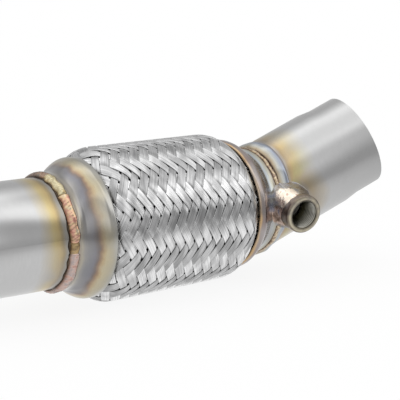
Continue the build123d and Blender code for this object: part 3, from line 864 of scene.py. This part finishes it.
def bung():
    """The turned boss: outside wall, chamfer, face, countersink and a threaded bore, closed at the saddle.

    The thread's radius is the core's plus a triangle wave of the depth less the pitch's share of the turn,
    cut flat at its crests and roots.
    """
    turn = np.linspace(0, TAU, BUNG_COLUMNS, endpoint=False)
    foot = seat_depth(np.full(BUNG_COLUMNS, BUNG_RADIUS), turn, WALL_SINK)
    rim = BUNG_RADIUS - BUNG_CHAMFER
    mouth = bore_radius + COUNTERSINK
    # Two points beside each corner round it off
    profile = [
        (BUNG_RADIUS - 0.2 * MM, -foot),
        (BUNG_RADIUS, -foot),
        (BUNG_RADIUS, -BUNG_CHAMFER - 0.25 * MM),
        (BUNG_RADIUS - 0.12 * MM, -BUNG_CHAMFER * 0.8),
        (rim + 0.15 * MM, -0.1 * MM),
        (rim - 0.1 * MM, 0.0),
        (mouth + 0.75 * MM, 0.0),
        (mouth + 0.55 * MM, -0.1 * MM),
    ]
    wall_radius = np.array([np.full(BUNG_COLUMNS, radius) for radius, place in profile])
    wall_place = np.array([np.broadcast_to(place, BUNG_COLUMNS) for radius, place in profile])
    saddle = seat_depth(np.full(BUNG_COLUMNS, bore_radius), turn, BORE_SINK)
    share = np.linspace(0, 1, THREAD_STEPS)[:, None]
    depth = THREAD_START + share * (saddle - THREAD_START)
    wave = np.abs(((depth / THREAD_PITCH - turn / TAU) % 1.0) * 2 - 1)
    groove = np.clip(wave * THREAD_SLOPE - THREAD_FLAT, 0, 1)
    radius = np.concatenate([wall_radius, bore_radius + THREAD_DEPTH * groove])
    place = np.concatenate([wall_place, -depth])
    points = turned(bung_face, port_axis, bung_side, place, radius, turn[None, :])
    # Painted shade of the thread: 1 on its crests and outside the bore, darker towards its grooves
    crest_shade_mask = np.concatenate([np.ones_like(wall_place), 1 - THREAD_SHADE * groove])
    inside = np.concatenate([np.zeros_like(wall_place), np.ones_like(depth)])
    faces = grid_faces(len(radius), BUNG_COLUMNS, wrap_rows=True, flip=True)
    uv = np.stack([crest_shade_mask, inside], -1)
    mesh_piece("threaded_bung", points, faces, bung_steel(), ["sensor_bung"], uv)


bung()

# The bung's weld
WELD_REACH = 3.3 * MM
REACH_SWING = 0.06
WALL_BARE = 3.2 * MM
BARE_SWING = 0.5 * MM
WELD_INSET = 0.4 * MM
WELD_EDGE = 0.1 * MM
WELD_FOOT = 0.9 * MM
LUMP_TURN = math.radians(312)
LUMP_REACH = 1.6 * MM
LOW_TURN = math.radians(15)
LOW_DROP = 3.4 * MM
HOLLOW_POWER = 2.1
LUMP_FULLNESS = 1.3
RIDGE_HEIGHT = 0.08 * MM
LUMP_RIDGE_HEIGHT = 0.8 * MM
RIDGE_SLANT = 1.7
RIDGE_BREAKS = 5.0
WELD_COLUMNS = 360
WELD_STEPS = 30
SILVER_BLUE = [(0.36, "#8C8074"), (0.5, "#A6A29E"), (0.64, "#92929E")]
BRONZE_PINK = [(0.36, "#866E5E"), (0.47, "#B0988A"), (0.58, "#DCC4B6"), (0.7, "#A8A4AE")]
CREAM_CRUST = [(0.36, "#D0B4A4"), (0.44, "#F6EEDF"), (0.58, "#F0DDCB"), (0.68, "#E2DACE")]


def beside_bung(depth, out, turn):
    """A point so many millimetres below the bung's face and out from its axis."""
    return turned(bung_face, port_axis, bung_side, -depth * MM, out * MM, turn)


def fillet_steel():
    """Fused filler round the bung: silver blue where it ran smooth, bronze and pink at the low side, and
    crusted cream on the lump. Each patch is a ragged ball, its distance roughened by a noise of 3 mm."""
    material, tree, place = new_material("silver_blue_fillet")
    patches = add_node(tree, "TexNoise", {"Vector": place, "Scale": 1 / (4 * MM), "Detail": 4.0})
    noise = add_node(tree, "TexNoise", {"Vector": place, "Scale": 1 / (3 * MM), "Detail": 3.0})
    wobble = add_node(tree, "Math", {0: noise, 1: 6.0, 2: -3.0}, operation="MULTIPLY_ADD")
    colour = add_node(tree, "ValToRGB", {"Fac": patches}, stops=SILVER_BLUE)
    low = (beside_bung(9, 14, LOW_TURN), BRONZE_PINK, 8.0)
    lump = (beside_bung(7, 15, LUMP_TURN), CREAM_CRUST, 9.0)
    for spot, stops, wide in (low, lump):
        patch = add_node(tree, "ValToRGB", {"Fac": patches}, stops=stops)
        gap = add_node(tree, "VectorMath", {0: place, 1: spot}, "Value", operation="DISTANCE")
        ragged = add_node(tree, "Math", {0: gap, 1: 1 / MM, 2: wobble}, operation="MULTIPLY_ADD")
        edge = {0: ragged, 1: -0.6, 2: 0.6 * wide}
        inside = add_node(tree, "Math", edge, operation="MULTIPLY_ADD", use_clamp=True)
        colour = add_node(tree, "Mix", {0: inside, 6: colour, 7: patch}, 2, data_type="RGBA")
    fine = add_node(tree, "TexNoise", {"Vector": place, "Scale": 1 / (0.9 * MM), "Detail": 3.0})
    look = {
        "Base Color": colour,
        "Metallic": 1.0,
        "Roughness": add_node(tree, "Math", {0: fine, 1: 0.25, 2: 0.14}, operation="MULTIPLY_ADD"),
        "Normal": add_node(tree, "Bump", {"Height": fine, "Distance": 0.1 * MM, "Strength": 1.0}),
    }
    add_node(tree, "OutputMaterial", {"Surface": add_node(tree, "BsdfPrincipled", look)})
    return material


def near_turn(turn, middle):
    """A bell over the turn round the bung: e to minus twice the square of the turn from its middle."""
    return np.exp(-2 * ((turn - middle + math.pi) % TAU - math.pi) ** 2)


def bung_weld():
    """The fillet round the bung's foot, from near the rim down to the pipe: a hollow curve, the share of the
    way left raised to a power. It is smooth where the torch ran evenly, piled up in one ridged lump, and
    lower at its side. The ridges are the product of two periodic noises of the turn and the share."""
    turn = np.linspace(0, TAU, WELD_COLUMNS, endpoint=False)
    share, turn = np.meshgrid(np.linspace(0, 1, WELD_STEPS), turn, indexing="ij")
    lump, low = near_turn(turn, LUMP_TURN), near_turn(turn, LOW_TURN)
    rough = smooth_noise(turn, 31, 14, 3)
    reach = WELD_REACH * (1 + REACH_SWING * rough) + LUMP_REACH * lump
    wall = seat_depth(np.full_like(turn, BUNG_RADIUS), turn)
    climb = wall - WALL_BARE - BARE_SWING * rough - LOW_DROP * low
    hollow = (1 - share) ** (HOLLOW_POWER - LUMP_FULLNESS * lump)
    out = BUNG_RADIUS - WELD_INSET + (reach + WELD_INSET) * share
    ridges = smooth_noise(turn + share * RIDGE_SLANT, 41, 30, 12)
    ridges = ridges * smooth_noise(share * RIDGE_BREAKS + turn, 43, 8, 2) * np.sin(math.pi * share)
    rise = climb * hollow + (RIDGE_HEIGHT + LUMP_RIDGE_HEIGHT * lump) * ridges
    top = np.maximum(rise, 0) - seat_depth(out, turn, WELD_EDGE)
    under = -seat_depth(out, turn, WELD_FOOT)
    place = np.concatenate([top, under[::-1]])
    radius = np.concatenate([out, out[::-1]])
    angle = np.concatenate([turn, turn])
    points = turned(bung_face, port_axis, bung_side, place, radius, angle)
    faces = grid_faces(2 * WELD_STEPS, WELD_COLUMNS, wrap_rows=True)
    mesh_piece("bung_weld_fillet", points, faces, fillet_steel(), ["sensor_bung_weld"])


bung_weld()

# Studio. The floor's own light on the part fades with the distance from the joint, in metres
FLOOR_HALF = 6.0
FLOOR_GLOW = 0.89
GLOW_FADE = -2.6
GLOW_NEAR = 1.34
GLOW_LEAST = 0.46

# Places from the flexible joint's centre, in metres, and the lens in millimetres
CAMERA_PLACE = np.array([-0.3851, -0.5339, 0.1418])
AIM_PLACE = np.array([0.0229, -0.0177, 0.0094])
LENS = 100.8

# Soft light by its height, as a share of the half turn from before the camera to behind the part: beside the
# part on the outlet's side the softbox is wide and low, and on the other it is narrow over a dark wall
WIDE_LIGHT = [
    (0.0, 0.60),
    (0.05, 0.88),
    (0.11, 1.10),
    (0.16, 1.02),
    (0.21, 0.88),
    (0.25, 0.95),
    (0.31, 1.38),
    (0.38, 1.22),
    (0.46, 1.22),
    (0.52, 1.42),
    (0.59, 1.56),
    (0.63, 1.30),
    (0.67, 1.00),
    (0.76, 0.66),
    (1.0, 0.62),
]
NARROW_LIGHT = [
    (0.0, 0.56),
    (0.08, 0.63),
    (0.16, 0.60),
    (0.24, 0.55),
    (0.29, 0.66),
    (0.32, 0.90),
    (0.36, 1.48),
    (0.44, 1.64),
    (0.49, 1.42),
    (0.53, 1.22),
    (0.58, 0.94),
    (0.66, 1.02),
    (0.74, 0.80),
    (0.82, 0.66),
    (1.0, 0.70),
]
# The line between the two lights lies to the side, leans with the height, and is soft
EDGE_LEAN = 0.72
EDGE_PLACE = 0.62
EDGE_SHARPNESS = 8.0


def white_paper():
    """White backdrop paper: matt, and so far lit of itself that it shows white around the shadow. Metal
    mirrors that white too, dimmer with distance, as from a lit table."""
    paper, tree, place = new_material("white_paper")
    camera_ray = add_node(tree, "LightPath", output="Is Camera Ray")
    glossy_ray = add_node(tree, "LightPath", output="Is Glossy Ray")
    clear_ray = add_node(tree, "LightPath", output="Is Transmission Ray")
    seen = add_node(tree, "Math", {0: camera_ray, 1: glossy_ray}, operation="MAXIMUM")
    seen = add_node(tree, "Math", {0: seen, 1: clear_ray}, operation="MAXIMUM")
    glow = add_node(tree, "Math", {0: seen, 1: FLOOR_GLOW}, operation="MULTIPLY")
    away = add_node(tree, "VectorMath", {0: place, 1: flex_centre}, "Value", operation="DISTANCE")
    fade = {0: away, 1: GLOW_FADE, 2: GLOW_NEAR}
    level = add_node(tree, "Math", fade, operation="MULTIPLY_ADD", use_clamp=True)
    level = add_node(tree, "Math", {0: level, 1: GLOW_LEAST}, operation="MAXIMUM")
    level = add_node(tree, "Math", {0: level, 1: camera_ray}, operation="MAXIMUM")
    matt = add_node(tree, "BsdfDiffuse", {"Color": "#F6F6F6"})
    white = add_node(tree, "Emission", {"Color": "#FFFFFF", "Strength": level})
    surface = add_node(tree, "MixShader", {0: glow, 1: matt, 2: white})
    add_node(tree, "OutputMaterial", {"Surface": surface})
    return paper


def studio_floor():
    """A flat square of paper under the part's lowest point."""
    signs = [(-1, -1), (1, -1), (1, 1), (-1, 1)]
    mesh = bpy.data.meshes.new("studio_floor")
    mesh.from_pydata([(x * FLOOR_HALF, y * FLOOR_HALF, cad_low.z) for x, y in signs], [], [(0, 1, 2, 3)])
    mesh.materials.append(white_paper())
    floor = bpy.data.objects.new("studio_floor", mesh)
    bpy.context.scene.collection.objects.link(floor)


def studio_camera():
    """The camera, at the photograph's angle."""
    data = bpy.data.cameras.new("camera")
    data.lens = LENS
    data.sensor_width = 36.0
    data.clip_start = 0.01
    camera = bpy.data.objects.new("camera", data)
    bpy.context.scene.collection.objects.link(camera)
    camera.location = Vector(flex_centre + CAMERA_PLACE)
    camera.rotation_euler = Vector(AIM_PLACE - CAMERA_PLACE).to_track_quat("-Z", "Y").to_euler()
    bpy.context.scene.camera = camera


def studio_light():
    """The world: the two soft lights, and plain white where the camera looks past the part."""
    world = bpy.data.worlds.new("studio")
    bpy.context.scene.world = world
    world.use_nodes = True
    tree = world.node_tree
    tree.nodes.clear()
    before = Vector((CAMERA_PLACE[0], CAMERA_PLACE[1], 0)).normalized()
    beside = Vector((0, 0, 1)).cross(before)
    way = add_node(tree, "TexCoord", output="Generated")
    ahead = add_node(tree, "VectorMath", {0: way, 1: tuple(before)}, "Value", operation="DOT_PRODUCT")
    aside = add_node(tree, "VectorMath", {0: way, 1: tuple(beside)}, "Value", operation="DOT_PRODUCT")
    high = add_node(tree, "VectorMath", {0: way, 1: (0, 0, 1)}, "Value", operation="DOT_PRODUCT")
    angle = add_node(tree, "Math", {0: high, 1: ahead}, operation="ARCTAN2")
    share = add_node(tree, "Math", {0: angle, 1: math.pi}, operation="DIVIDE", use_clamp=True)
    wide = add_node(tree, "ValToRGB", {"Fac": share}, stops=WIDE_LIGHT)
    narrow = add_node(tree, "ValToRGB", {"Fac": share}, stops=NARROW_LIGHT)
    edge = add_node(tree, "Math", {0: share, 1: EDGE_LEAN, 2: aside}, operation="MULTIPLY_ADD")
    past_edge = {0: edge, 1: EDGE_SHARPNESS, 2: 0.5 - EDGE_PLACE * EDGE_SHARPNESS}
    side = add_node(tree, "Math", past_edge, operation="MULTIPLY_ADD", use_clamp=True)
    light = add_node(tree, "Mix", {0: side, 6: wide, 7: narrow}, 2, data_type="RGBA")
    camera_ray = add_node(tree, "LightPath", output="Is Camera Ray")
    shown = add_node(tree, "Mix", {0: camera_ray, 6: light, 7: "#FFFFFF"}, 2, data_type="RGBA")
    background = add_node(tree, "Background", {"Color": shown, "Strength": 1.0})
    add_node(tree, "OutputWorld", {"Surface": background})


studio_floor()
studio_camera()
studio_light()
bpy.context.scene.view_settings.view_transform = "Standard"
